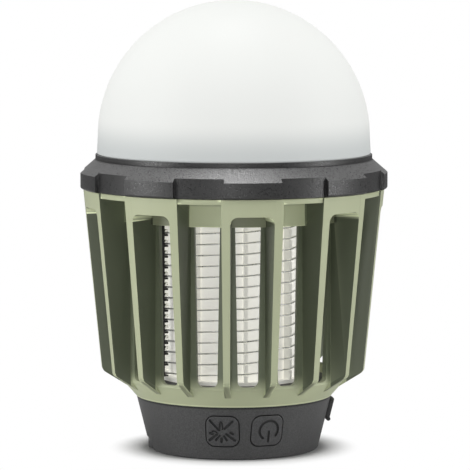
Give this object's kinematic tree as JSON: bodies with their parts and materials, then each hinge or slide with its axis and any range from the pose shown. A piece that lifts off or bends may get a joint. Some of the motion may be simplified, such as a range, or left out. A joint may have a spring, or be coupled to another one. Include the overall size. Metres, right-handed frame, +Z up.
{
  "type": "insect killer light bulb",
  "caption": "Upright insect killer lamp: frosted dome, dark grip collar, green finned cage round a wire grid and light tube, tapered base with push buttons, port flap and folding hook.",
  "frame": {"origin": "middle of the base's underside, on the lamp's axis, on the standing surface", "axes": "+Z up along the lamp's axis towards the dome, -Y towards the front with the push buttons, +X to the right, where the charging port is"},
  "size_m": [0.088, 0.0874, 0.1286],
  "materials": {
    "soft_grey": "fine grained, soft to the touch",
    "button_grey": "fine grained, soft to the touch",
    "rubber_grey": "matt",
    "collar_grey": "fine grained",
    "cage_green": "semi-gloss olive green",
    "dome_white": "frosted diffuser, satin",
    "tube_cream": "glossy, slightly milky",
    "comb_cream": "satin",
    "white_plastic": "satin",
    "black_plastic": "satin",
    "grid_steel": "bright drawn wire",
    "screw_steel": "zinc plated",
    "socket_steel": "plated sheet",
    "board_green": "solder mask",
    "board_white": "white solder mask",
    "chip_yellow": "light chips under clear gel",
    "cell_wrap": "shrink wrap"
  },
  "bodies": {
    "body": {"base_shell": "soft_grey", "bottom_cover": "soft_grey", "cover_screws": "screw_steel", "hook_pin": "screw_steel", "control_board": "board_green", "usb_socket": "socket_steel", "switch_lamp": "black_plastic", "switch_power": "black_plastic", "boost_transformer": "black_plastic", "storage_capacitor": "socket_steel", "cell_carrier": "white_plastic", "battery_cell": "cell_wrap", "uv_board": "board_white", "uv_leds": "chip_yellow", "light_tube": "tube_cream", "grid_frame": "comb_cream", "terminal_comb": "black_plastic", "grid_wire_a": "grid_steel", "grid_wire_b": "grid_steel", "column_cap": "white_plastic", "lamp_board": "board_white", "lamp_leds": "chip_yellow", "cage": "cage_green", "neck_seal": "rubber_grey"},
    "lamp_head": {"collar_ring": "collar_grey", "dome_seal": "rubber_grey", "dome_diffuser": "dome_white"},
    "lamp_key": {"button_lamp": "button_grey"},
    "power_key": {"button_power": "button_grey"},
    "hook": {"hanging_hook": "soft_grey"},
    "flap": {"port_flap": "rubber_grey"}
  },
  "joints": [
    {"name": "head_twist", "type": "hinge", "parent": "body", "child": "lamp_head", "pos_m": [0, 0, 0.0749], "axis": [0, 0, 1], "range_deg": [0, 22]},
    {"name": "lamp_key_press", "type": "slide", "parent": "body", "child": "lamp_key", "axis": [0.2419, 0.9703, 0], "range_m": [0, 0.0008], "stiffness_N_per_m": 2500},
    {"name": "power_key_press", "type": "slide", "parent": "body", "child": "power_key", "axis": [-0.2419, 0.9703, 0], "range_m": [0, 0.0008], "stiffness_N_per_m": 2500},
    {"name": "hook_fold", "type": "hinge", "parent": "body", "child": "hook", "pos_m": [0.008, 0, 0.0019], "axis": [0, -1, 0], "range_deg": [0, 90]},
    {"name": "flap_open", "type": "hinge", "parent": "body", "child": "flap", "pos_m": [0.02694, 0, 0.0082], "axis": [0, 1, 0], "range_deg": [0, 100]}
  ]
}
